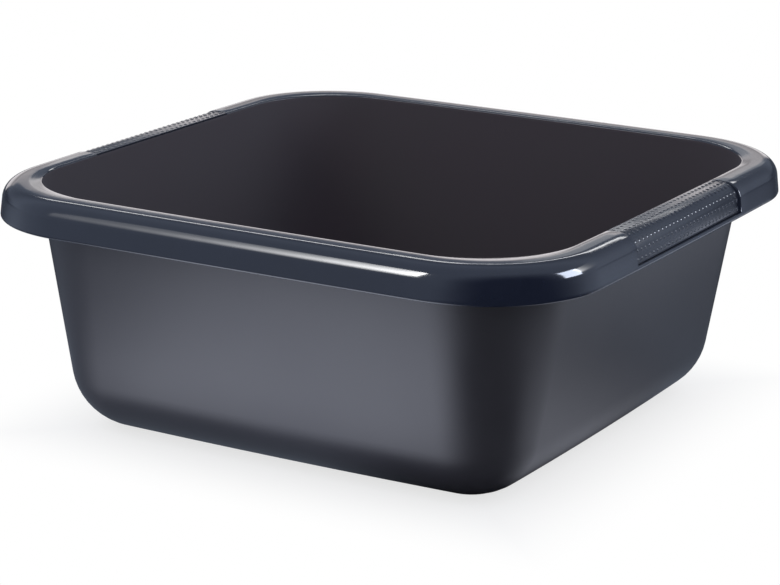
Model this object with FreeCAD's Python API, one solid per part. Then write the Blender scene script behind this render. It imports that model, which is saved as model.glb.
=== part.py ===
import FreeCAD, Part
import math
import os

# A square washing up bowl: a satin tub, a glossy hollow rim welded on the tub's seat flange, and two dotted
# grip pads let into the rim. Millimetres, +Z up, origin in the middle of the base, grips at +X and -X.

Vector = FreeCAD.Vector

# Whole bowl
width = 345.0                # across the rim at the middle of a side, both ways
height = 135.4               # underside of the base to the top of the rim
side_crown = 1.8             # how far a side bows out past its two ends
rim_corner = 67.0            # plan radius of the rim's outer corner

# Tub
rim_width = 18.65            # from the mouth's edge to the rim's outer edge
mouth_corner = 56.2          # plan radius of the mouth's corner
base_width = 267.5           # across the walls where they would meet the base plane
base_crown = 2.2             # bow of the sides at the base
base_corner = 32.3           # plan radius of the wall's corner at the base plane
wall = 2.0                   # wall, measured level
floor = 2.2                  # floor thickness
base_round = 36.0            # outside round from wall to base
seat_flange = 6.0            # flange round the tub's top that the rim is welded to
flange_thickness = 2.0
foot_width = 9.0             # flat ring that the bowl stands on
base_raise = 1.5             # how far the middle of the base is lifted off the table
gate_diameter = 7.0          # moulding mark in the middle of the base
gate_depth = 0.5

# Rim
rim_wall = 2.5
shoulder_start = 10.4        # from the outer edge in to where the flat top turns into the shoulder
shoulder_radius = 9.4
rim_drop = 18.5              # top of the rim to the bottom of its lip
mouth_round = 1.0            # small round along the mouth's edge

# Grips
grip_length = 129.5
grip_drop = 1.4              # how far the pad's shoulder and skirt lie in from the rim's, level
grip_mouth_drop = 0.3        # how far the pad's flat top lies below the rim's
grip_thickness = 1.1
grip_above_lip = 3.0         # bottom edge of the pad above the bottom of the lip
grip_backing = 2.0           # rim wall left behind the pad
backing_margin = 4.0         # the backing runs on this far past each end of the pad
flange_clearance = 0.5       # between the tub's flange and the backing
dot_pitch = 4.6              # along the grip
row_pitch = 4.6              # from row to row, over the top, the shoulder and the skirt
dot_diameter = 2.1
dot_height = 0.3
dot_collar = 0.05            # straight part of a dot above the pad, below its dome
dot_root = 0.3               # how far a dot reaches into the pad
grip_margin = 1.6            # least distance from the middle of a dot to the edge of the pad

overrun = 5.0                # how far a cutting shape reaches past what it cuts


def arc_points(centre, radius, start, stop):
    """First, middle and last point of a level arc, angles in radians."""
    angles = (start, (start + stop) / 2, stop)
    return [centre + Vector(radius * math.cos(a), radius * math.sin(a), 0) for a in angles]


def outline_centres(half, crown, corner):
    """Side radius, side centre, corner centre and half angle of one side, for a square with bowed sides."""
    chord = half - crown
    side = (chord ** 2 + crown ** 2) / (2 * crown)
    back = side - half
    place = (-back + math.sqrt(2 * (side - corner) ** 2 - back ** 2)) / 2
    return side, -back, place, math.atan2(place, place + back)


def outline(half, crown, corner, z):
    """Closed wire of four bowed sides and four tangent corners at height z."""
    side, side_centre, place, spread = outline_centres(half, crown, corner)
    edges = []
    for quarter in range(4):
        turn = quarter * math.pi / 2
        middle = Vector(side_centre * math.cos(turn), side_centre * math.sin(turn), z)
        edges.append(Part.Arc(*arc_points(middle, side, turn - spread, turn + spread)).toShape())
        diagonal = turn + math.pi / 4
        reach = place * math.sqrt(2)
        middle = Vector(reach * math.cos(diagonal), reach * math.sin(diagonal), z)
        start = turn + spread
        edges.append(Part.Arc(*arc_points(middle, corner, start, turn + math.pi / 2 - spread)).toShape())
    return Part.Wire(edges)


def wall_outline(z, inset):
    """Outline of the tub's wall at height z, moved in level by inset from its outer face."""
    share = z / height
    mouth_half = width / 2 - rim_width + wall
    half = base_width / 2 + (mouth_half - base_width / 2) * share
    crown = base_crown + (side_crown - base_crown) * share
    corner = base_corner + (mouth_corner + wall - base_corner) * share
    return outline(half - inset, crown, corner - inset, z)


def walls(low, high, inset, bottom_round):
    """Solid inside the tub's wall between two heights, its bottom edge rounded."""
    block = Part.makeLoft([wall_outline(low, inset), wall_outline(high, inset)], True, True)
    bottom = [e for e in block.Edges if e.BoundBox.ZMax < low + base_raise / 2]
    return block.makeFillet(bottom_round, bottom)


def prism(wire, depth):
    return Part.Face(wire).extrude(Vector(0, 0, depth))


# Tub
seat = height - rim_wall
half_mouth = width / 2 - rim_width
cavity = walls(floor + base_raise, height + overrun, wall, base_round - wall)
body = walls(0, seat, 0, base_round)
flange = prism(outline(half_mouth + seat_flange, side_crown, mouth_corner + seat_flange, seat - flange_thickness),
               flange_thickness)
panel_inset = base_round + foot_width
panel = prism(outline(base_width / 2 - panel_inset, base_crown, base_corner, 0), base_raise)
gate = Part.makeCylinder(gate_diameter / 2, base_raise + gate_depth)
tub = body.fuse(flange).cut(cavity).cut(panel).cut(gate)

# Rim section, drawn in the XZ plane on the +X side
outer = width / 2
upright = math.pi / 2
hub = Vector(outer - shoulder_start, 0, height - shoulder_radius)
lip = Vector(outer, 0, height - rim_drop + rim_wall / 2)
to_lip = lip - hub
skirt_turn = math.atan2(to_lip.z, to_lip.x) + math.acos(shoulder_radius / to_lip.Length)
skirt_normal = Vector(math.cos(skirt_turn), 0, math.sin(skirt_turn))
skirt_down = Vector(math.sin(skirt_turn), 0, -math.cos(skirt_turn))
mouth_point = Vector(half_mouth, 0, height)
inward = Vector(-seat_flange, 0, 0)


def around(centre, radius, angle):
    """Point on a circle of the section, angle up from level."""
    return centre + Vector(radius * math.cos(angle), 0, radius * math.sin(angle))


def line(a, b):
    return Part.LineSegment(a, b).toShape()


def shoulder(centre, radius):
    """Arc from the end of the flat top down to where the skirt starts."""
    halfway = (upright + skirt_turn) / 2
    return Part.Arc(*[around(centre, radius, angle) for angle in (upright, halfway, skirt_turn)]).toShape()


def face(edges):
    return Part.Face(Part.Wire(Part.__sortEdges__(edges)))


def rim_section():
    """Flat top, round shoulder, flared skirt and full-round lip, one wall thick."""
    inside = shoulder_radius - rim_wall
    top_end = mouth_point + inward
    under_end = top_end - Vector(0, 0, rim_wall)
    lip_inside = lip - skirt_normal * rim_wall
    lip_end = lip - skirt_normal * (rim_wall / 2) + skirt_down * (rim_wall / 2)
    return face([
        line(top_end, around(hub, shoulder_radius, upright)),
        shoulder(hub, shoulder_radius),
        line(around(hub, shoulder_radius, skirt_turn), lip),
        Part.Arc(lip, lip_end, lip_inside).toShape(),
        line(lip_inside, around(hub, inside, skirt_turn)),
        shoulder(hub, inside),
        line(around(hub, inside, upright), under_end),
        line(under_end, top_end),
    ])


# The pad has the rim's own section, moved in from the shoulder and a little down from the top
pad_hub = hub - Vector(grip_drop, 0, grip_mouth_drop)
pad_back = shoulder_radius - grip_thickness
pad_mouth = mouth_point - Vector(0, 0, grip_mouth_drop)
skirt_length = (lip - around(hub, shoulder_radius, skirt_turn)).Length
pad_top = pad_hub.x - pad_mouth.x
pad_arc = shoulder_radius * (upright - skirt_turn)
pad_skirt = skirt_length + rim_wall / 2 - grip_above_lip


def pad_start(depth):
    """Point this far below the pad's top, past the mouth's edge."""
    return pad_mouth + inward - Vector(0, 0, depth)


def pad_end(radius):
    return around(pad_hub, radius, skirt_turn) + skirt_down * pad_skirt


def pad_section():
    """One thickness of pad over the flat top, the shoulder and the skirt."""
    return face([
        line(pad_start(0), around(pad_hub, shoulder_radius, upright)),
        shoulder(pad_hub, shoulder_radius),
        line(around(pad_hub, shoulder_radius, skirt_turn), pad_end(shoulder_radius)),
        line(pad_end(shoulder_radius), pad_end(pad_back)),
        line(pad_end(pad_back), around(pad_hub, pad_back, skirt_turn)),
        shoulder(pad_hub, pad_back),
        line(around(pad_hub, pad_back, upright), pad_start(grip_thickness)),
        line(pad_start(grip_thickness), pad_start(0)),
    ])


def recess_section():
    """Everything outside the pad's back, as far as the rim reaches."""
    start = pad_start(grip_thickness)
    foot = pad_end(pad_back) + skirt_normal * (rim_wall + overrun)
    corner = Vector(foot.x, 0, height + overrun)
    top = Vector(start.x, 0, height + overrun)
    return face([
        line(start, around(pad_hub, pad_back, upright)),
        shoulder(pad_hub, pad_back),
        line(around(pad_hub, pad_back, skirt_turn), pad_end(pad_back)),
        line(pad_end(pad_back), foot),
        line(foot, corner),
        line(corner, top),
        line(top, start),
    ])


def backing_section():
    """Extra wall inside the rim behind the pad, from the flange's edge down to the lip."""
    shallow = rim_wall / 2
    deep = grip_drop + grip_thickness + grip_backing
    start = half_mouth + seat_flange + flange_clearance
    upper = shoulder_radius - shallow
    under = shoulder_radius - deep
    upper_start = Vector(start, 0, height - shallow)
    under_start = Vector(start, 0, height - deep)
    upper_end = lip - skirt_normal * shallow
    under_end = lip - skirt_normal * deep
    return face([
        line(upper_start, around(hub, upper, upright)),
        shoulder(hub, upper),
        line(around(hub, upper, skirt_turn), upper_end),
        line(upper_end, under_end),
        line(under_end, around(hub, under, skirt_turn)),
        shoulder(hub, under),
        line(around(hub, under, upright), under_start),
        line(under_start, upper_start),
    ])


# Rim
up = Vector(0, 0, 1)
side_radius, side_middle, corner_place, side_spread = outline_centres(outer, side_crown, rim_corner)
side_axis = Vector(side_middle, 0, 0)
corner_axis = Vector(corner_place, corner_place, 0)


def straight(section, length):
    """Draws a section out along Y, as far both ways."""
    return section.translated(Vector(0, -length / 2, 0)).extrude(Vector(0, length, 0))


def turned(shape, quarter):
    return shape.rotated(Vector(), up, 90 * quarter)


def both_ends(shape):
    """The same shape on the +X and on the -X side."""
    return [shape, turned(shape, 2)]


section = rim_section()
side_angle = math.degrees(side_spread)
side_piece = section.rotated(side_axis, up, -side_angle).revolve(side_axis, up, 2 * side_angle)
corner_start = section.rotated(side_axis, up, side_angle)
corner_piece = corner_start.revolve(corner_axis, up, 90 - 2 * side_angle)
pieces = [turned(piece, quarter) for quarter in range(4) for piece in (side_piece, corner_piece)]
rim = pieces[0].multiFuse(pieces[1:]).removeSplitter().cut(cavity)
middle_of_flat = (half_mouth + hub.x) / 2
mouth_edges = [e for e in rim.Edges
               if e.BoundBox.ZMin > height - mouth_round and e.BoundBox.XMax < middle_of_flat
               and e.BoundBox.XMin > -middle_of_flat and e.BoundBox.YMax < middle_of_flat
               and e.BoundBox.YMin > -middle_of_flat]
rim = rim.makeFillet(mouth_round, mouth_edges)
backing = straight(backing_section(), grip_length + 2 * backing_margin)
recess = straight(recess_section(), grip_length)
rim = rim.multiFuse(both_ends(backing)).cut(both_ends(recess)).removeSplitter()


# Grips
def dome():
    """One dot on the origin: a round stud with its root below and a domed top."""
    edge = dot_diameter / 2
    rise = dot_height - dot_collar
    ball = (edge ** 2 + rise ** 2) / (2 * rise)
    halfway = math.asin(edge / ball) / 2
    low = Vector(0, 0, -dot_root)
    foot = Vector(edge, 0, -dot_root)
    collar = Vector(edge, 0, dot_collar)
    side = Vector(ball * math.sin(halfway), 0, dot_height - ball + ball * math.cos(halfway))
    top = Vector(0, 0, dot_height)
    outline_of_dot = [line(low, foot), line(foot, collar), Part.Arc(collar, side, top).toShape(), line(top, low)]
    return face(outline_of_dot).revolve(Vector(), up, 360)


def pad_place(run):
    """Point and normal on the pad's outer face, this far along its section from the mouth's edge."""
    if run < pad_top:
        return pad_mouth + Vector(run, 0, 0), up
    if run < pad_top + pad_arc:
        angle = upright - (run - pad_top) / shoulder_radius
        return around(pad_hub, shoulder_radius, angle), Vector(math.cos(angle), 0, math.sin(angle))
    return around(pad_hub, shoulder_radius, skirt_turn) + skirt_down * (run - pad_top - pad_arc), skirt_normal


def evenly(length, pitch):
    """Places of as many dots as fit at this pitch, with the same margin at both ends."""
    count = int((length - 2 * grip_margin) / pitch) + 1
    first = (length - (count - 1) * pitch) / 2
    return [first + index * pitch for index in range(count)]


rows = [pad_place(run) for run in evenly(pad_top + pad_arc + pad_skirt, row_pitch)]
one_dot = dome()
dots = []
for place, normal in rows:
    for along in evenly(grip_length, dot_pitch):
        dot = one_dot.copy()
        along_side = Vector(0, along - grip_length / 2, 0)
        dot.Placement = FreeCAD.Placement(place + along_side, FreeCAD.Rotation(up, normal))
        dots.append(dot)
pad = straight(pad_section(), grip_length).cut(cavity)
grip = pad.multiFuse(dots)
right_grip, left_grip = both_ends(grip)

# Export
os.makedirs("parts", exist_ok=True)
nodes = {"tub": tub, "rim": rim, "right_grip": right_grip, "left_grip": left_grip}
for name, shape in nodes.items():
    shape.exportStep(f"parts/{name}.step")
    box = shape.optimalBoundingBox()
    print(name, len(shape.Solids), "solid", shape.isValid(), f"{shape.Volume:.0f} mm3",
          f"{box.XLength:.2f} x {box.YLength:.2f} x {box.ZLength:.2f}")
print(len(rows), "rows of dots,", len(dots), "dots on each grip")
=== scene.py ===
# %% [markdown]
# # A square washing up bowl
#
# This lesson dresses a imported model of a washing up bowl: a satin tub, a glossy rim turned over at the top,
# and a dotted grip pad let into the rim on two sides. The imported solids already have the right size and
# place, so they are loaded first and measured. Each one is then replaced by a mesh with evenly laid faces,
# because a solid's loose triangles give patchy reflections on a glossy shoulder.

# %% Load the frame
import math

import bmesh
import bpy
from mathutils import Matrix, Vector


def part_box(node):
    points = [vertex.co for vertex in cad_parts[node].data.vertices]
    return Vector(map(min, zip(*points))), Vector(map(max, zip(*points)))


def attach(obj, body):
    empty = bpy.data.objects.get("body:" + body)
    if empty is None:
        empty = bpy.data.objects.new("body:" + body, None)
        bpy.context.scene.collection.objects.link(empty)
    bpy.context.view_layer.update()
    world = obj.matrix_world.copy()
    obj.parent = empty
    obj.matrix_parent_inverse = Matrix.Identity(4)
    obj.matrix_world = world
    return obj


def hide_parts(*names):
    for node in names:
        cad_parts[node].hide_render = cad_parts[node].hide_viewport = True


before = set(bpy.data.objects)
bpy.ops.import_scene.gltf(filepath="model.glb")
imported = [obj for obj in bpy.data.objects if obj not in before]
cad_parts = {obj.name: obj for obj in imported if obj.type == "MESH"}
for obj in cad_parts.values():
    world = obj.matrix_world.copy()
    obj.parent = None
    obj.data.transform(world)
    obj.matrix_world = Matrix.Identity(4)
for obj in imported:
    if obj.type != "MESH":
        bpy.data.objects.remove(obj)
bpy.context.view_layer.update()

# %% [markdown]
# ## The plan of the bowl
#
# Seen from above, every level of the bowl is a square with bowed sides: four very flat arcs joined by four
# round corners. Blender has no such primitive, so one function finds the circles of the outline and another
# walks round it and gives a ring of places. All rings have the same number of places, one column above the
# other, so that a wall between two rings is a clean band of four-sided faces.

# %% Circles of a bowed square
corner_steps = 28
side_shares = (-0.9, -0.6, -0.3, 0.0, 0.3, 0.6, 0.9)


def bowed_square(half, crown, corner):
    """Side radius, distance of its centre behind the middle, corner centre and half the angle of a side."""
    chord = half - crown
    side = (chord ** 2 + crown ** 2) / (2 * crown)
    back = side - half
    place = (math.sqrt(2 * (side - corner) ** 2 - back ** 2) - back) / 2
    return side, back, place, math.atan2(place, place + back)


def ring(outline, z, grow=0.0, columns=None):
    """Places round a bowed square (half, crown, corner) at height z, moved out level by grow."""
    half, crown, corner = outline
    side, back, place, spread = bowed_square(half, crown, corner)
    side += grow
    corner += grow
    if columns is None:
        turns = [spread * share for share in side_shares]
    else:
        turns = [math.asin(y / side) for y in columns]
    quarter = [Vector((side * math.cos(turn) - back, side * math.sin(turn), z)) for turn in turns]
    for step in range(corner_steps + 1):
        turn = spread + (math.pi / 2 - 2 * spread) * step / corner_steps
        quarter.append(Vector((place + corner * math.cos(turn), place + corner * math.sin(turn), z)))
    return [Matrix.Rotation(math.pi / 2 * side_number, 3, "Z") @ point
            for side_number in range(4) for point in quarter]


print("places in a ring:", 4 * (len(side_shares) + corner_steps + 1))

# %% [markdown]
# ## Growing a wall ring by ring
#
# A bowl could be spun, but a spin is round and this bowl is not. It could also be lofted from a list of
# vertices and faces, but Blender's extrude makes those faces by itself. So a circle of vertices is set on
# the first ring, its edges are extruded, and the new vertices are set on the next ring. A whole-number
# layer on the vertices remembers the column, and extruding copies it along.

# %% Wall grower and piece finisher
sharp_angle = math.radians(35)
merge_distance = 0.000001


def grow_wall(rings):
    """A bmesh wall through rings of (places, inside), with the edges of its first and last ring.

    Inside is 1 where the ring belongs to the inner face of the bowl. Materials read it as an attribute."""
    shell = bmesh.new()
    column = shell.verts.layers.int.new("column")
    inside = shell.verts.layers.float.new("inside")
    places, share = rings[0]
    loop = bmesh.ops.create_circle(shell, segments=len(places))["verts"]
    for number, vert in enumerate(loop):
        vert[column] = number
        vert[inside] = share
        vert.co = places[number]
    first = shell.edges[:]
    edges = first
    for places, share in rings[1:]:
        grown = bmesh.ops.extrude_edge_only(shell, edges=edges)["geom"]
        for vert in (item for item in grown if isinstance(item, bmesh.types.BMVert)):
            vert[inside] = share
            vert.co = places[vert[column]]
        edges = [item for item in grown if isinstance(item, bmesh.types.BMEdge) and item.is_boundary]
    return shell, first, edges


def finish_piece(shell, name, node, material):
    """Closes a bmesh into an object at the origin that stands for a solid of the frame."""
    bmesh.ops.remove_doubles(shell, verts=shell.verts[:], dist=merge_distance)
    bmesh.ops.recalc_face_normals(shell, faces=shell.faces[:])
    for face in shell.faces:
        face.smooth = True
    for edge in shell.edges:
        edge.smooth = edge.calc_face_angle(0.0) < sharp_angle
    mesh = bpy.data.meshes.new(name)
    shell.to_mesh(mesh)
    shell.free()
    mesh.materials.append(material)
    piece = bpy.data.objects.new(name, mesh)
    bpy.context.scene.collection.objects.link(piece)
    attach(piece, "root")
    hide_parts(node)
    print(name, len(mesh.polygons), "faces")
    return piece


print("edges bent by", round(math.degrees(sharp_angle)), "degrees or more are drawn sharp")

# %% [markdown]
# ## Shader maths as Python
#
# Materials are built from nodes, and sums of nodes are hard to read as boxes and wires. One small class
# wraps a socket so that plus, minus and times add the Math node, and one method adds any other node.

# %% Shader helpers
class Signal:
    """A value in a node tree that can be added and multiplied."""

    def __init__(self, finish, socket):
        self.finish = finish
        self.socket = socket

    def maths(self, operation, first, second):
        return self.finish.node("ShaderNodeMath", {"operation": operation}, {0: first, 1: second})

    def __add__(self, other):
        return self.maths("ADD", self, other)

    def __sub__(self, other):
        return self.maths("SUBTRACT", self, other)

    def __rsub__(self, other):
        return self.maths("SUBTRACT", other, self)

    def __mul__(self, other):
        return self.maths("MULTIPLY", self, other)

    __radd__ = __add__
    __rmul__ = __mul__


class Finish:
    """A node tree with one method that adds a node, sets it and links it."""

    def __init__(self, tree):
        self.tree = tree

    def node(self, kind, settings=None, inputs=None, output=0):
        made = self.tree.nodes.new(kind)
        for key, value in (settings or {}).items():
            setattr(made, key, value)
        self.fill(made, inputs or {})
        return Signal(self, made.outputs[output])

    def fill(self, node, inputs):
        for key, value in inputs.items():
            if isinstance(value, Signal):
                self.tree.links.new(value.socket, node.inputs[key])
            else:
                node.inputs[key].default_value = value

    def noise(self, place, scale, detail, roughness=0.5):
        """Soft random value around one half, with features about 1 / scale metres across."""
        inputs = {"Vector": place, "Scale": scale, "Detail": detail, "Roughness": roughness}
        return self.node("ShaderNodeTexNoise", {}, inputs, "Fac")

    def spread(self, value, low, high, start=0.35, stop=0.65):
        """Carries a value from start..stop to low..high."""
        inputs = {"Value": value, "From Min": start, "From Max": stop, "To Min": low, "To Max": high}
        return self.node("ShaderNodeMapRange", {}, inputs)

    def ease(self, value, start, stop):
        """Runs smoothly from 0 at start to 1 at stop."""
        inputs = {"Value": value, "From Min": start, "From Max": stop}
        return self.node("ShaderNodeMapRange", {"interpolation_type": "SMOOTHSTEP"}, inputs)

    def vector(self, operation, first, second=(0, 0, 0), output="Vector"):
        return self.node("ShaderNodeVectorMath", {"operation": operation}, {0: first, 1: second}, output)

    def blend(self, share, first, second):
        """Mixes two colours. Inputs 6 and 7 and output 2 are the colour sockets of the Mix node."""
        settings = {"data_type": "RGBA"}
        return self.node("ShaderNodeMix", settings, {0: share, 6: first, 7: second}, 2)


def plastic(name, settings):
    """A new Principled material with its constant settings, and the helper for its nodes."""
    material = bpy.data.materials.new(name)
    material.use_nodes = True
    finish = Finish(material.node_tree)
    shader = material.node_tree.nodes["Principled BSDF"]
    finish.fill(shader, settings)
    place = finish.node("ShaderNodeTexCoord", output="Object")
    return material, finish, shader, place


print("shader helpers:", Signal.__name__, Finish.__name__, plastic.__name__)

# %% [markdown]
# ## Satin tub
#
# A mould for such a tub is often spark-eroded, which leaves a fine even grain on the plastic. It shows as a
# soft sheen with no clear reflection. A bump of grains well under a millimetre gives the sparkle close up,
# and slow changes of roughness and shade stand for the uneven flow of the plastic. A picture of grain would
# need an unwrapped mesh and would show its repeats, so noise is used. The inner face has a duller grain
# than the outer one. It is also given a lighter, warmer colour, which is painted light that brightens the
# inside of the bowl. Both are mixed by the attribute that the wall grower wrote.

# %% Satin finish
plastic_settings = {"IOR": 1.5}
grain_scale = 1500
grain_detail = 1.0
grain_strength = 0.25
grain_depth = 0.0001
flow_scale = 22
flow_detail = 3.0
flow_change = 0.02
outer_shades = ((0.0180, 0.0174, 0.0228, 1), (0.0212, 0.0205, 0.0266, 1))
# The inner shades are lighter and warmer than the outer ones: painted light for the inside of the bowl.
inner_painted_light_shades = ((0.0280, 0.0195, 0.0270, 1), (0.0316, 0.0222, 0.0306, 1))
outer_roughness = 0.40
inner_roughness = 0.90


def satin_finish():
    material, finish, shader, place = plastic("satin_tub", plastic_settings)
    grain = finish.noise(place, grain_scale, grain_detail)
    flow = finish.noise(place, flow_scale, flow_detail)
    shade = finish.spread(flow, 0.0, 1.0)
    inner = finish.node("ShaderNodeAttribute", {"attribute_name": "inside"}, {}, "Fac")
    colour = finish.blend(inner, finish.blend(shade, *outer_shades), finish.blend(shade, *inner_painted_light_shades))
    relief = {"Strength": grain_strength, "Distance": grain_depth, "Height": grain}
    bump = finish.node("ShaderNodeBump", {}, relief, "Normal")
    roughness = outer_roughness + inner * (inner_roughness - outer_roughness)
    roughness = roughness + finish.spread(flow, -flow_change, flow_change)
    finish.fill(shader, {"Base Color": colour, "Roughness": roughness, "Normal": bump})
    return material


satin = satin_finish()
print("made", satin.name)

# %% [markdown]
# ## Gloss rim
#
# The rim comes from a polished part of the mould. It is darker and bluer than the tub and mirrors the
# lights, with the faint waviness of moulded plastic and a trace of handling in its roughness. Its narrow
# mouth wall carries on the dull grain of the tub's inner face, and its lighter colour of painted light.
# The grip pads are duller between their polished dots. Vertex attributes mark both, so that one finish
# can serve two polishes.

# %% Gloss finish
wave_scale = 60
wave_detail = 1.0
wave_strength = 0.04
wave_depth = 0.001
handling_scale = 35
handling_detail = 4.0
handling_roughness = 0.6
handling_spread = 0.015
rim_shades = ((0.0085, 0.0108, 0.0200, 1), (0.0100, 0.0126, 0.0232, 1))
rim_roughness = 0.09
pad_roughness = 0.22
dot_roughness = 0.08


def gloss_finish(name, polish, mark, marked_polish, marked_shade):
    """Polished plastic whose marked faces have a polish and, if given, a shade of their own."""
    material, finish, shader, place = plastic(name, plastic_settings)
    wave = finish.noise(place, wave_scale, wave_detail)
    handling = finish.noise(place, handling_scale, handling_detail, handling_roughness)
    marked = finish.node("ShaderNodeAttribute", {"attribute_name": mark}, {}, "Fac")
    colour = finish.blend(finish.spread(handling, 0.0, 1.0), *rim_shades)
    if marked_shade:
        colour = finish.blend(marked, colour, marked_shade)
    relief = {"Strength": wave_strength, "Distance": wave_depth, "Height": wave}
    bump = finish.node("ShaderNodeBump", {}, relief, "Normal")
    roughness = finish.spread(handling, polish - handling_spread, polish + handling_spread)
    roughness = roughness + marked * (marked_polish - polish)
    finish.fill(shader, {"Base Color": colour, "Roughness": roughness, "Normal": bump})
    return material


# The rim's mouth wall takes the inner colour, painted light like the tub's inside.
gloss = gloss_finish("gloss_rim", rim_roughness, "inside", inner_roughness, inner_painted_light_shades[1])
grip_gloss = gloss_finish("grip_pad", pad_roughness, "dot", dot_roughness, None)
print("made", gloss.name, "and", grip_gloss.name)

# %% [markdown]
# ## The tub
#
# The tub is one thin shell. Its wall leans out in a straight line from the base to the mouth, so the
# outline at any height is a mix of the two. The rings start under the base at the moulding mark, run out
# over the foot ring, round the bottom edge, up the wall, over the seat flange, and back down the inside to
# the floor. A bevelled cube would come close, but its sides would be flat and its corners equally round at
# every height.

# %% Tub sizes
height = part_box("rim")[1].z
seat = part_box("tub")[1].z
rim_across = 0.345
outer = rim_across / 2
rim_width = 0.01865
wall = 0.002
floor_thickness = 0.0022
base_raise = 0.0015
base_round = 0.036
foot_width = 0.009
seat_flange = 0.006
flange_thickness = 0.002
gate_radius = 0.0035
gate_depth = 0.0005
half_mouth = outer - rim_width
base_outline = Vector((0.13375, 0.0022, 0.0323))
mouth_outline = Vector((half_mouth + wall, 0.0018, 0.0582))
wall_lean = (mouth_outline[0] - base_outline[0]) / height
wall_shares = (0.25, 0.5, 0.75, 0.92)  # extra rings, as shares of the wall from the bottom round to the seat
round_steps = 12


def wall_outline(z, inset):
    """Half width, crown and corner radius of the wall at height z, moved in by inset."""
    half, crown, corner = base_outline.lerp(mouth_outline, z / height)
    return half - inset, crown, corner - inset


def bottom_round(radius, low, inset):
    """Rings of the round from the floor level low up to the wall."""
    lean = math.atan(wall_lean)
    middle = low + radius
    centre = wall_outline(middle, inset)[0] - radius / math.cos(lean)
    top = middle - radius * math.sin(lean)
    top_half, crown, top_corner = wall_outline(top, inset)
    rings = []
    for step in range(round_steps + 1):
        turn = -math.pi / 2 + (math.pi / 2 - lean) * step / round_steps
        half = centre + radius * math.cos(turn)
        rings.append(ring((half, crown, top_corner - top_half + half), middle + radius * math.sin(turn)))
    return rings


def round_ring(places, radius, z):
    """A circle with one place on the same bearing as each place of another ring."""
    return [Vector((place.x, place.y, 0)).normalized() * radius + Vector((0, 0, z)) for place in places]


def wall_heights():
    """Heights of the extra rings between the bottom round and the seat."""
    return [base_round + (seat - base_round) * share for share in wall_shares]


print("the wall leans out by", round(math.degrees(math.atan(wall_lean)), 2), "degrees")


# %% Tub shell
def tub_rings():
    panel = (base_outline[0] - base_round - foot_width, base_outline[1], base_outline[2])
    panel_edge = ring(panel, 0.0)
    flange = (half_mouth + seat_flange, mouth_outline[1], mouth_outline[2] - wall + seat_flange)
    inside_low = floor_thickness + base_raise
    rings = [
        round_ring(panel_edge, gate_radius, base_raise + gate_depth),
        round_ring(panel_edge, gate_radius, base_raise),
        ring(panel, base_raise),
        panel_edge,
    ]
    rings += bottom_round(base_round, 0.0, 0.0)
    rings += [ring(wall_outline(z, 0.0), z) for z in wall_heights()]
    rings.append(ring(wall_outline(seat - flange_thickness, 0.0), seat - flange_thickness))
    rings.append(ring(flange, seat - flange_thickness))
    rings.append(ring(flange, seat))
    inner = [ring(wall_outline(seat, wall), seat)]
    inner += [ring(wall_outline(z, wall), z) for z in reversed(wall_heights())]
    inner += reversed(bottom_round(base_round - wall, inside_low, wall))
    return [(places, 0.0) for places in rings] + [(places, 1.0) for places in inner]


shell, underside, floor_edge = grow_wall(tub_rings())
bmesh.ops.contextual_create(shell, geom=underside)
bmesh.ops.contextual_create(shell, geom=floor_edge)
finish_piece(shell, "tub_shell", "tub", satin)

# %% [markdown]
# ## The rim
#
# The rim's section is a nearly flat top, a round shoulder, a flared skirt and a round lip, and it is hollow
# underneath. A grip sits sunk in it on the left and the right. One way is to cut a pocket with a boolean,
# but that leaves ragged faces on the glossiest surface. Here each place of the section is given twice, once
# on the plain rim and once on the bottom of the pocket, and each column takes one, the other, or a share of
# the two. A few close columns at the pocket's ends draw its rounded step.

# %% Rim sizes
side_crown = 0.0018
rim_corner = 0.067
rim_outline = (outer, side_crown, rim_corner)
rim_wall = 0.0025
rim_drop = 0.0185
shoulder_start = 0.0104
shoulder_radius = 0.0094
mouth_round = 0.001
top_tilt = math.radians(1.2)     # how steeply the flat top falls away where the shoulder starts
mouth_slope = math.radians(9.0)  # and at the round along the mouth
mouth_share = 0.4                # share of the top that falls towards the mouth
grip_length = 0.1295
grip_half = grip_length / 2
grip_drop = 0.0014
grip_mouth_drop = 0.0003
grip_thickness = 0.0011
grip_above_lip = 0.003
grip_backing = 0.002
flange_clearance = 0.0005
top_shares = (0.06, 0.14, 0.24, 0.34, 0.5, 0.75, 0.94)
mouth_steps = 4
shoulder_steps = 16
hollow_steps = 7
lip_steps = 8
ledge_gap = 0.00005              # between two rings that share a place on the plain rim
ledge_fall = 0.0003              # the ledge under the pad slopes down by this much
skirt_shares = (0.5, 1.0)
upright = math.pi / 2
mouth_turn = upright - mouth_slope
top_start = half_mouth + mouth_round * (1 - math.cos(mouth_turn))
top_stop = outer - shoulder_start + shoulder_radius * math.sin(top_tilt)
top_crown = top_tilt * (top_stop - top_start) / 4
mouth_fall = math.tan(mouth_slope - top_tilt) * mouth_share * (top_stop - top_start) / 2
hub = Vector((outer - shoulder_start, height - top_crown - shoulder_radius))
lip = Vector((outer, height - rim_drop + rim_wall / 2))
to_lip = lip - hub
skirt_turn = math.atan2(to_lip.y, to_lip.x) + math.acos(shoulder_radius / to_lip.length)
skirt_out = Vector((math.cos(skirt_turn), math.sin(skirt_turn)))
skirt_down = Vector((math.sin(skirt_turn), -math.cos(skirt_turn)))


def around(centre, radius, turn):
    """Place in the section on a circle, turn up from level."""
    return centre + radius * Vector((math.cos(turn), math.sin(turn)))


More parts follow.
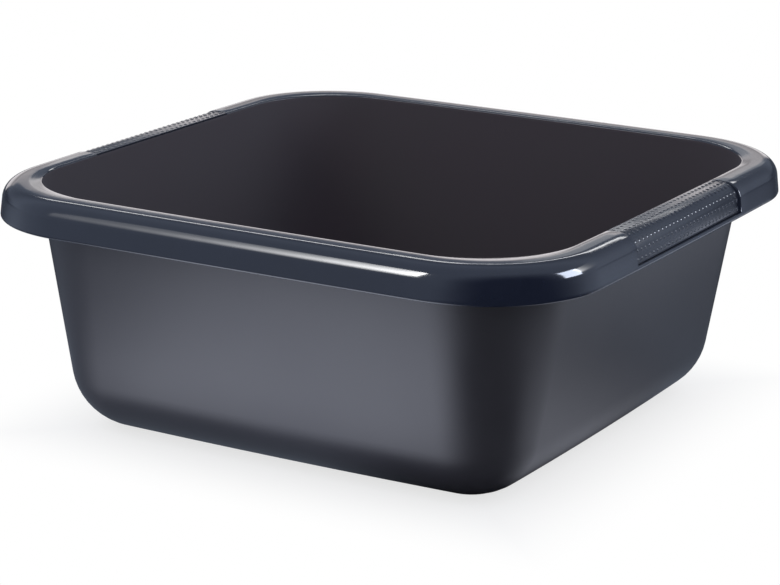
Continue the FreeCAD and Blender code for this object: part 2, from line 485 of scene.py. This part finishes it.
pad_hub = Vector((hub.x - grip_drop, height - grip_mouth_drop - shoulder_radius))
pad_back = shoulder_radius - grip_thickness
pocket_floor = height - grip_mouth_drop - grip_thickness
skirt_length = (lip - around(hub, shoulder_radius, skirt_turn)).length
pad_top = pad_hub.x - half_mouth
pad_arc = shoulder_radius * (upright - skirt_turn)
pad_skirt = skirt_length + rim_wall / 2 - grip_above_lip
pocket_skirt = pad_skirt + (pad_hub - hub).dot(skirt_down)
print("the skirt leans by", round(math.degrees(skirt_turn), 2), "degrees")
print("the pad's flat top is", round(pad_top * 1000, 2), "mm wide")

# %% [markdown]
# ## The ends of a pocket
#
# Where the rim steps down into a pocket, the step shows as a thin bright line above a dark one. A bevel
# could round it, but it would have to be cut as an edge first. Here a few columns stand close together at
# each end of the pocket, and each lies a set share of the way down. The shares grow slowly at first and
# then quickly, and that rounds the upper edge of the step.

# %% Columns of the rim
# Distance past the end of the pad, and how far down into the pocket that column lies.
pocket_edge = ((0.0011, 0.0), (0.0007, 0.02), (0.0004, 0.07), (0.0002, 0.14), (0.00008, 0.25), (0.00003, 1.0))
plain_columns = (0.095, 0.084, 0.074)
sunk_columns = (0.045, 0.022)
half_side = [(y, 0.0) for y in plain_columns]
half_side += [(grip_half + past, share) for past, share in pocket_edge]
half_side += [(y, 1.0) for y in sunk_columns]
side_columns = [(-y, share) for y, share in half_side] + [(0.0, 1.0)] + list(reversed(half_side))
column_places = [y for y, share in side_columns]
column_shares = [share for y, share in side_columns] + [0.0] * (corner_steps + 1)
pocket_shares = column_shares + [0.0] * len(column_shares)
pocket_shares += pocket_shares


def rim_ring(outline, z, grow=0.0, sunk=None):
    """A ring of the rim whose columns at the grips lie at the pocket's own place (x, z) in the section."""
    places = ring(outline, z, grow, column_places)
    if sunk is None:
        return places
    result = []
    for place, share in zip(places, pocket_shares):
        pocket = Vector((math.copysign(sunk.x, place.x), place.y, sunk.y))
        result.append(place.lerp(pocket, share))
    return result


print("columns along a side:", len(side_columns))

# %% [markdown]
# ## The rim's skin
#
# The rings follow the section once round: up the narrow mouth wall, over the top, round the shoulder, down
# the skirt, round the lip and back through the hollow underneath. A spin would make a round rim, and a
# curve with a bevel shape keeps one section all along, while this one changes at the pockets. So the rim
# too is grown ring by ring. The top isn't quite flat: it falls towards the mouth, and that gives it a
# second line of light along the edge.

# %% Rim shell
def section_ring(point, sunk=None):
    """A ring through a place (x, z) of the outer section."""
    return rim_ring(rim_outline, point.y, point.x - outer, sunk)


def top_height(share):
    """Height of the nearly flat top at a share of its width from the mouth."""
    fall = max(0.0, 1 - share / mouth_share)
    return height - top_crown * (2 * share - 1) ** 2 - mouth_fall * fall ** 2


def mouth_rings():
    """The narrow wall under the mouth's edge and the small round along it, with the share of inner finish."""
    rings = [(rim_ring(wall_outline(seat, wall), seat), 1.0)]
    for step in range(mouth_steps + 1):
        turn = mouth_turn * step / mouth_steps
        z = top_height(0.0) - mouth_round * (math.sin(mouth_turn) - math.sin(turn))
        outline = wall_outline(z, wall - mouth_round * (1 - math.cos(turn)))
        rings.append((rim_ring(outline, z, 0.0, Vector((outline[0], pocket_floor))), float(step == 0)))
    return rings


def outer_rings():
    """The crowned top, the shoulder, the skirt and the lip."""
    rings = []
    for share in top_shares:
        sunk = Vector((top_start + (pad_hub.x - top_start) * share, pocket_floor))
        plain = Vector((top_start + (top_stop - top_start) * share, top_height(share)))
        rings.append(section_ring(plain, sunk))
    for step in range(shoulder_steps + 1):
        share = step / shoulder_steps
        turn = upright - top_tilt + (skirt_turn - upright + top_tilt) * share
        sunk = around(pad_hub, pad_back, upright + (skirt_turn - upright) * share)
        rings.append(section_ring(around(hub, shoulder_radius, turn), sunk))
    for share in skirt_shares:
        sunk = around(pad_hub, pad_back, skirt_turn) + skirt_down * (pad_skirt * share)
        run = skirt_down * (pocket_skirt * share)
        rings.append(section_ring(around(hub, shoulder_radius, skirt_turn) + run, sunk))
    ledge = skirt_down * (pocket_skirt + ledge_fall)
    rings.append(section_ring(around(hub, shoulder_radius, skirt_turn) + ledge))
    centre = lip - skirt_out * (rim_wall / 2)
    for step in range(lip_steps + 1):
        rings.append(section_ring(around(centre, rim_wall / 2, skirt_turn - math.pi * step / lip_steps)))
    return rings


def hollow_rings():
    """The inside of the skirt and the underside of the top, with the backing behind the grips."""
    deep = grip_drop + grip_thickness + grip_backing
    rings = []
    for step in range(hollow_steps + 1):
        turn = skirt_turn + (upright - skirt_turn) * step / hollow_steps
        sunk = around(hub, shoulder_radius - deep, turn)
        rings.append(section_ring(around(hub, shoulder_radius - rim_wall, turn), sunk))
    flange_end = half_mouth + seat_flange + flange_clearance
    rings.append(section_ring(Vector((flange_end, seat)), Vector((flange_end, height - deep))))
    rings.append(section_ring(Vector((flange_end - ledge_gap, seat))))
    return rings


glossy_rings = [(places, 0.0) for places in outer_rings() + hollow_rings()]
shell, first, last = grow_wall(mouth_rings() + glossy_rings)
bmesh.ops.bridge_loops(shell, edges=first + last)
finish_piece(shell, "rim_shell", "rim", gloss)

# %% [markdown]
# ## The grip pads
#
# A pad is a strip of even thickness that follows the rim over the top, round the shoulder and down the
# skirt. It starts as one vertex. Extruding and spinning draw its section, another extrude draws it along
# the side, and solidify gives it thickness. A plain box bent by a modifier would do too, but its section
# couldn't be set so exactly into the pocket.

# %% Pad sheet
pad_edge_round = 0.0003
pad_support = 0.0009             # an extra edge this far from a rounded one keeps the flat beside it flat
pad_edge_steps = 3


def new_verts(made):
    return [item for item in made if isinstance(item, bmesh.types.BMVert)]


def pad_shell():
    """The bare pad on the right-hand side."""
    pad = bmesh.new()
    top = [pad.verts.new((half_mouth, -grip_half, height - grip_mouth_drop))]
    for reach in (pad_support, pad_top - 2 * pad_support, pad_support):
        top = bmesh.ops.extrude_vert_indiv(pad, verts=top)["verts"]
        bmesh.ops.translate(pad, verts=top, vec=(reach, 0, 0))
    spun = bmesh.ops.spin(pad, geom=top, cent=(pad_hub.x, -grip_half, pad_hub.y), axis=(0, 1, 0),
                          angle=upright - skirt_turn, steps=shoulder_steps)["geom_last"]
    skirt = bmesh.ops.extrude_vert_indiv(pad, verts=new_verts(spun))["verts"]
    down = skirt_down * pad_skirt
    bmesh.ops.translate(pad, verts=skirt, vec=(down.x, 0, down.y))
    drawn = bmesh.ops.extrude_edge_only(pad, edges=pad.edges[:])["geom"]
    bmesh.ops.translate(pad, verts=new_verts(drawn), vec=(0, 2 * grip_half, 0))
    bmesh.ops.recalc_face_normals(pad, faces=pad.faces[:])
    if sum(face.normal.x + face.normal.z for face in pad.faces) < 0:
        bmesh.ops.reverse_faces(pad, faces=pad.faces[:])
    rim_edges = [edge for edge in pad.edges if edge.is_boundary]
    bmesh.ops.solidify(pad, geom=pad.faces[:], thickness=grip_thickness)
    bmesh.ops.bevel(pad, geom=[edge for edge in rim_edges if edge.is_valid], offset=pad_edge_round,
                    offset_type="OFFSET", segments=pad_edge_steps, profile=0.5, affect="EDGES", material=-1)
    return pad


print("the pad is", round(1000 * (pad_top + pad_arc + pad_skirt), 2), "mm along its section")

# %% [markdown]
# ## Dots
#
# The dots stop wet fingers from slipping. They are 168 copies of one low dome, so it has only a few dozen
# faces and a spin draws it once. An array modifier could lay out the rows on the flat, but not those round
# the shoulder, so each copy is turned to the outward direction of its own place. An attribute marks the
# dots for their higher polish.

# %% Dots
dot_pitch = 0.0046
row_pitch = 0.0046
dot_radius = 0.00105
dot_height = 0.0003
dot_collar = 0.00005
dot_root = 0.0003
dot_steps = 12
dome_shares = (0.66, 0.33, 0.0)
grip_margin = 0.0016


def dot_mesh():
    """One dome on the origin, from a spun profile."""
    dot = bmesh.new()
    rise = dot_height - dot_collar
    ball = (dot_radius ** 2 + rise ** 2) / (2 * rise)
    reach = math.asin(dot_radius / ball)
    profile = [(0.0, -dot_root), (dot_radius, -dot_root), (dot_radius, dot_collar)]
    profile += [(ball * math.sin(reach * share), dot_height - ball + ball * math.cos(reach * share))
                for share in dome_shares]
    verts = [dot.verts.new((x, 0, z)) for x, z in profile]
    edges = [dot.edges.new(pair) for pair in zip(verts, verts[1:])]
    bmesh.ops.spin(dot, geom=verts + edges, cent=(0, 0, 0), axis=(0, 0, 1), angle=2 * math.pi,
                   steps=dot_steps, use_merge=True)
    bmesh.ops.remove_doubles(dot, verts=dot.verts[:], dist=merge_distance)
    bmesh.ops.recalc_face_normals(dot, faces=dot.faces[:])
    mesh = bpy.data.meshes.new("dot")
    dot.to_mesh(mesh)
    dot.free()
    return mesh


def evenly(length, pitch):
    """Places of as many dots as fit, with the same margin at both ends."""
    count = int((length - 2 * grip_margin) / pitch) + 1
    first_place = (length - (count - 1) * pitch) / 2
    return [first_place + number * pitch for number in range(count)]


def pad_place(run):
    """Place (x, z) and outward direction on the pad, this far along its section from the mouth's edge."""
    if run < pad_top:
        return Vector((half_mouth + run, height - grip_mouth_drop)), Vector((0, 1))
    if run < pad_top + pad_arc:
        turn = upright - (run - pad_top) / shoulder_radius
        return around(pad_hub, shoulder_radius, turn), Vector((math.cos(turn), math.sin(turn)))
    return around(pad_hub, shoulder_radius, skirt_turn) + skirt_down * (run - pad_top - pad_arc), skirt_out


def dotted_field(dot):
    """One mesh with the dome copied onto every place of the right-hand pad."""
    field = bmesh.new()
    for run in evenly(pad_top + pad_arc + pad_skirt, row_pitch):
        place, out = pad_place(run)
        turned = Vector((out.x, 0, out.y)).to_track_quat("Z", "Y").to_matrix().to_4x4()
        for along in evenly(2 * grip_half, dot_pitch):
            known = len(field.verts)
            field.from_mesh(dot)
            field.verts.ensure_lookup_table()
            stand = Matrix.Translation((place.x, along - grip_half, place.y)) @ turned
            bmesh.ops.transform(field, matrix=stand, verts=field.verts[known:])
    mark = field.verts.layers.float.new("dot")
    for vert in field.verts:
        vert[mark] = 1.0
    mesh = bpy.data.meshes.new("dots")
    field.to_mesh(mesh)
    field.free()
    return mesh


print("a dot is", dot_height * 1000, "mm high")

# %% [markdown]
# ## Both grips
#
# The bowl looks the same after half a turn, so the left grip is the right one turned about the middle.
# Mirroring would work as well, but it turns faces inside out, and a turn doesn't.

# %% Both grips
dot = dot_mesh()
dots = dotted_field(dot)
print("a dot has", len(dot.polygons), "faces, all dots of a grip have", len(dots.polygons))
for name, node, half_turn in (("right_grip_pad", "right_grip", 0.0), ("left_grip_pad", "left_grip", math.pi)):
    pad = pad_shell()
    pad.verts.layers.float.new("dot")
    pad.from_mesh(dots)
    bmesh.ops.rotate(pad, verts=pad.verts[:], cent=(0, 0, 0), matrix=Matrix.Rotation(half_turn, 3, "Z"))
    finish_piece(pad, name, node, grip_gloss)
bpy.data.meshes.remove(dot)
bpy.data.meshes.remove(dots)

# %% [markdown]
# ## Light for a dark glossy thing
#
# A dark glossy thing is drawn by what it mirrors. Real panels could be set up for every reflection, but
# each of them would also light the satin tub. Here an even pale room does the lighting, and what the bowl
# mirrors is painted for mirrored rays alone, which the Light Path node tells apart. The painted room is
# pale and cool, and unlit towards the front right. The unlit part draws the dark near corner.

# %% The unlit side of the room
cool_light = (0.80, 0.93, 1.18, 1)
near_unlit = math.radians(70)
far_unlit = math.radians(56)
unlit_edge = (0.4, 0.92)
back_way = (-0.5, 0.866, 0)


def unlit_share(tree, way, bearing):
    """How far a direction points to the unlit front right of the room, from 0 to 1."""
    level = tree.vector("NORMALIZE", way)
    unlit_way = (math.sin(bearing), -math.cos(bearing), 0)
    towards = tree.vector("DOT_PRODUCT", level, unlit_way, "Value")
    return tree.ease(towards, *unlit_edge)


print("the room is unlit", round(math.degrees(far_unlit)), "degrees to the right of its front")

# %% [markdown]
# ## The table
#
# To the camera the floor is white with a faint shadow of the bowl. To mirrored rays it is a pale table
# that glows with painted light, with painted shade close to the foot and darker behind the bowl. A bright
# painted patch in front gives the front wall its sheen, a dimmer one does so on the right, and a narrow
# strip further out draws the light line along the right-hand lip. Lamps could throw such patches on a real
# table, but then they would show in the picture too.

# %% Table as the bowl mirrors it
table_light = (0.90, 0.94, 1.08, 1)
near_light = 0.32
far_light = 0.73
far_edge = (0.35, 0.8)
foot_shade_edge = (0.095, 0.125)
behind_edge = (0.2, 0.7)
behind_share = 0.15
front_light = 2.95
front_across = ((-0.235, -0.08), (0.07, 0.15))
front_forward = ((-0.36, -0.30), (-0.176, -0.146))
right_light = 0.8
right_across = ((0.12, 0.14), (0.24, 0.30))
right_forward = ((-0.12, -0.08), (-0.04, 0.14))
strip_light = 2.0
strip_across = ((0.27, 0.29), (0.33, 0.36))
strip_forward = ((0.02, 0.10), (0.50, 0.60))


def between(tree, value, start, stop):
    """1 between two pairs of limits, easing to 0 outside."""
    return tree.ease(value, *start) * (1 - tree.ease(value, *stop))


def square_reach(table, place):
    """How far a place lies from the middle, measured squarely like the bowl's base."""
    reach = table.vector("ABSOLUTE", place)
    across = table.node("ShaderNodeSeparateXYZ", {}, {0: reach}, "X")
    along = table.node("ShaderNodeSeparateXYZ", {}, {0: reach}, "Y")
    return across.maths("MAXIMUM", across, along)


def plain_table(table, place):
    """Painted light of the table away from its patches, with painted shade close to the foot."""
    # Painted shade of the bowl on the table, close to its foot.
    out_of_foot_shade = table.ease(square_reach(table, place), *foot_shade_edge)
    far = table.ease(table.vector("LENGTH", place, output="Value"), *far_edge)
    unlit = unlit_share(table, place, near_unlit) * (1 - far) + unlit_share(table, place, far_unlit) * far
    backwards = table.vector("DOT_PRODUCT", table.vector("NORMALIZE", place), back_way, "Value")
    behind = table.ease(backwards, *behind_edge)
    plain = (near_light + far * (far_light - near_light)) * (1 - unlit) * out_of_foot_shade
    return plain * (1 - behind * (1 - behind_share))


def table_glow(table, place):
    """The table as the bowl mirrors it, in painted light: a cool plain part, two patches and a strip."""
    across = table.node("ShaderNodeSeparateXYZ", {}, {0: place}, "X")
    forward = table.node("ShaderNodeSeparateXYZ", {}, {0: place}, "Y")
    front = between(table, across, *front_across) * between(table, forward, *front_forward)
    right = between(table, across, *right_across) * between(table, forward, *right_forward)
    strip = between(table, across, *strip_across) * between(table, forward, *strip_forward)
    patches = front * front_light + right * right_light + strip * strip_light
    cool = table.node("ShaderNodeEmission", {}, {"Color": cool_light, "Strength": plain_table(table, place)})
    lit = table.node("ShaderNodeEmission", {}, {"Color": table_light, "Strength": patches})
    return table.node("ShaderNodeAddShader", {}, {0: cool, 1: lit})


print("light of the patches:", front_light, right_light, strip_light)

# %% Floor
floor_size = 6.0
floor_settings = {"Base Color": (0.9, 0.9, 0.9, 1), "Roughness": 0.6, "Specular IOR Level": 0.2}
plain_white = {"Color": (1, 1, 1, 1), "Strength": 1.0}
faint_shadow = 0.72
shadow_edge = (0.11, 0.19)


def pale_floor():
    surface = bmesh.new()
    bmesh.ops.create_grid(surface, x_segments=1, y_segments=1, size=floor_size)
    mesh = bpy.data.meshes.new("floor")
    surface.to_mesh(mesh)
    surface.free()
    floor = bpy.data.objects.new("floor", mesh)
    bpy.context.scene.collection.objects.link(floor)
    material = bpy.data.materials.new("pale_floor")
    material.use_nodes = True
    nodes = material.node_tree.nodes
    table = Finish(material.node_tree)
    shader = nodes["Principled BSDF"]
    table.fill(shader, floor_settings)
    shaded = Signal(table, shader.outputs["BSDF"])
    place = table.node("ShaderNodeTexCoord", output="Object")
    path = nodes.new("ShaderNodeLightPath")
    direct = Signal(table, path.outputs["Is Camera Ray"])
    glossy = Signal(table, path.outputs["Is Glossy Ray"])
    clear = faint_shadow + table.ease(square_reach(table, place), *shadow_edge) * (1 - faint_shadow)
    seen = table.node("ShaderNodeMixShader", {}, {0: glossy, 1: shaded, 2: table_glow(table, place)})
    white = table.node("ShaderNodeEmission", {}, plain_white)
    seen = table.node("ShaderNodeMixShader", {}, {0: direct * clear, 1: seen, 2: white})
    table.fill(nodes["Material Output"], {"Surface": seen})
    mesh.materials.append(material)
    return floor


print("made", pale_floor().name, floor_size * 2, "m across")

# %% [markdown]
# ## The room
#
# The world is white to the camera and even for scattered light. For mirrored rays it is painted by
# direction: darker behind the bowl, with a low warm band there that the rim's flat top mirrors. The band
# has three levels of light, one above the other, because the top falls more steeply towards the mouth and
# so mirrors a lower level along its edge. A picture of a studio is the usual way to light a scene, but a
# single line of light in it can't be moved by a degree.

# %% World
room_colour = (0.95, 0.98, 1.06, 1)
room_light = 1.0
mirrored_light = 0.8
back_low_light = 0.10
back_high_light = 0.30
back_edge = (0.4, 0.8)
back_rise = (0.05, 0.2)
band_colour = (1.0, 0.95, 0.97, 1)
band_low_light = 0.6
band_high_light = 1.15
mouth_light = 1.5
band_way = (-0.574, 0.819, 0)
band_edge = (0.928, 0.944)
mouth_stop = (math.sin(math.radians(7.5)), math.sin(math.radians(11.0)))
band_start = (math.sin(math.radians(11.6)), math.sin(math.radians(12.5)))
band_stop = (math.sin(math.radians(13.0)), math.sin(math.radians(14.7)))


def mirrored_room(air, way, level):
    """Light of the painted room in a direction."""
    behind = air.ease(air.vector("DOT_PRODUCT", way, back_way, "Value"), *back_edge)
    back = back_low_light + air.ease(level, *back_rise) * (back_high_light - back_low_light)
    return (mirrored_light + behind * (back - mirrored_light)) * (1 - unlit_share(air, way, far_unlit))


def warm_band(air, way, level):
    """Where the low band behind the bowl lies, from 0 to 1, and its light."""
    towards = air.vector("DOT_PRODUCT", way, band_way, "Value")
    share = (1 - air.ease(level, *band_stop)) * air.ease(towards, *band_edge)
    light = band_low_light + air.ease(level, *band_start) * (band_high_light - band_low_light)
    return share, light + (1 - air.ease(level, *mouth_stop)) * (mouth_light - band_low_light)


def studio_world():
    world = bpy.data.worlds.new("studio")
    bpy.context.scene.world = world
    world.use_nodes = True
    air = Finish(world.node_tree)
    path = world.node_tree.nodes.new("ShaderNodeLightPath")
    direct = Signal(air, path.outputs["Is Camera Ray"])
    mirrored = Signal(air, path.outputs["Is Glossy Ray"])
    passed = Signal(air, path.outputs["Is Transmission Ray"])
    way = air.node("ShaderNodeTexCoord", output="Generated")
    level = air.node("ShaderNodeSeparateXYZ", {}, {0: way}, "Z")
    band, band_light = warm_band(air, way, level)
    painted = mirrored * mirrored_room(air, way, level)
    even = (1 - mirrored) * room_light
    painted = air.node("ShaderNodeBackground", {}, {"Color": cool_light, "Strength": painted})
    even = air.node("ShaderNodeBackground", {}, {"Color": room_colour, "Strength": even})
    room = air.node("ShaderNodeAddShader", {}, {0: painted, 1: even})
    warm = air.node("ShaderNodeBackground", {}, {"Color": band_colour, "Strength": band_light})
    white = air.node("ShaderNodeBackground", {}, plain_white)
    mixed = air.node("ShaderNodeMixShader", {}, {0: mirrored * band, 1: room, 2: warm})
    mixed = air.node("ShaderNodeMixShader", {}, {0: direct + passed, 1: mixed, 2: white})
    air.fill(world.node_tree.nodes["World Output"], {"Surface": mixed})
    return world


world = studio_world()
print("world", world.name, "with", len(world.node_tree.nodes), "nodes")

# %% [markdown]
# ## Soft panels
#
# The sharp lights on the rim need panels with an edge. Each is an area lamp that only mirrored rays see. It
# is placed by the directions in which the bowl sees it, because a highlight sits where those directions are
# mirrored to the camera. A panel can fade from one side to the other through nodes of its own.

# %% Panel maker
panel_distance = 1.8


def softbox(name, bearings, rises, radiance, fade=None, colour=(1, 1, 1)):
    """A soft panel that faces the bowl between two bearings and two heights, in degrees seen from it.

    Fade takes the panel's node tree and two shares, across and up, and gives its strength there."""
    lamp = bpy.data.lights.new(name, "AREA")
    lamp.shape = "RECTANGLE"
    lamp.color = colour
    spread = (bearings[1] - bearings[0], rises[1] - rises[0])
    lamp.size, lamp.size_y = [2 * panel_distance * math.tan(math.radians(angle) / 2) for angle in spread]
    lamp.energy = radiance * math.pi * lamp.size * lamp.size_y
    panel = bpy.data.objects.new(name, lamp)
    bearing = math.radians(sum(bearings) / 2)
    rise = math.radians(sum(rises) / 2)
    way = Vector((math.sin(bearing) * math.cos(rise), -math.cos(bearing) * math.cos(rise), math.sin(rise)))
    panel.location = Vector((0, 0, height)) + way * panel_distance
    panel.rotation_euler = way.to_track_quat("Z", "Y").to_euler()
    panel.visible_camera = False
    panel.visible_diffuse = False
    if fade:
        lamp.use_nodes = True
        tree = Finish(lamp.node_tree)
        place = tree.node("ShaderNodeNewGeometry", output="Parametric")
        across = tree.node("ShaderNodeSeparateXYZ", {}, {0: place}, "X")
        up = tree.node("ShaderNodeSeparateXYZ", {}, {0: place}, "Y")
        tree.fill(lamp.node_tree.nodes["Emission"], {"Strength": fade(tree, across, up)})
    bpy.context.scene.collection.objects.link(panel)
    return panel


print("panels stand", panel_distance, "m from the mouth")

# %% Panels
strip_least = 0.03
strip_rise = (0.0, 0.5)
wall_falloff = 7.0
wall_rise = (0.0, 0.4)


def brighter_rightwards(tree, across, up):
    return (across * across * across + strip_least) * tree.ease(up, *strip_rise)


def dimmer_rightwards(tree, across, up):
    rest = 1 - across
    return rest.maths("POWER", rest, wall_falloff) * tree.ease(up, *wall_rise)


# The long highlight on the front of the rim
softbox("front_left_strip", bearings=(-42, -20.5), rises=(6, 39), radiance=45, fade=brighter_rightwards)
# The bright highlight on the near corner, the white dots and the glow beside them
softbox("right_panel", bearings=(98, 117), rises=(3, 30), radiance=18, colour=(0.86, 0.94, 1.12))
softbox("right_wall", bearings=(117, 165), rises=(8, 30), radiance=14, fade=dimmer_rightwards)
# The white line along the shoulder
softbox("back_strip", bearings=(-182, -150), rises=(27, 30), radiance=5)
softbox("left_strip", bearings=(-150, -126), rises=(31.5, 37), radiance=5)
# The sheen of the flat top
softbox("back_glow", bearings=(-172, -156), rises=(13, 19), radiance=0.4)
softbox("left_glow", bearings=(-143.4, -137), rises=(10, 14), radiance=0.5)

# %% [markdown]
# ## Camera
#
# The camera was worked out from the bowl's outline in the photograph: a long lens, a little to the right of
# the front and a little above, with a slight roll. A Track To constraint would aim it more simply but would
# keep it level, so its three axes are written into its matrix.

# %% Camera
frame_width = 780
sensor = 36.0
focal_pixels = 2732.136
camera_azimuth = math.radians(29.5034)
camera_elevation = math.radians(15.7159)
camera_roll = math.radians(0.9095)
camera_distance = 1.49364
aim_right = -0.0043606
aim_height = 0.0644686


def place_camera():
    lens = bpy.data.cameras.new("camera")
    lens.sensor_width = sensor
    lens.sensor_fit = "HORIZONTAL"
    lens.lens = focal_pixels * sensor / frame_width
    back = Vector((math.sin(camera_azimuth) * math.cos(camera_elevation),
                   -math.cos(camera_azimuth) * math.cos(camera_elevation), math.sin(camera_elevation)))
    level = Vector((math.cos(camera_azimuth), math.sin(camera_azimuth), 0))
    rise = back.cross(level)
    right = level * math.cos(camera_roll) + rise * math.sin(camera_roll)
    up = rise * math.cos(camera_roll) - level * math.sin(camera_roll)
    camera = bpy.data.objects.new("camera", lens)
    axes = Matrix((right, up, back)).transposed().to_4x4()
    eye = right * aim_right + Vector((0, 0, aim_height)) + back * camera_distance
    camera.matrix_world = Matrix.Translation(eye) @ axes
    bpy.context.scene.collection.objects.link(camera)
    bpy.context.scene.camera = camera
    return camera


camera = place_camera()
bpy.context.scene.view_settings.view_transform = "Standard"
print("lens", round(camera.data.lens, 2), "mm")
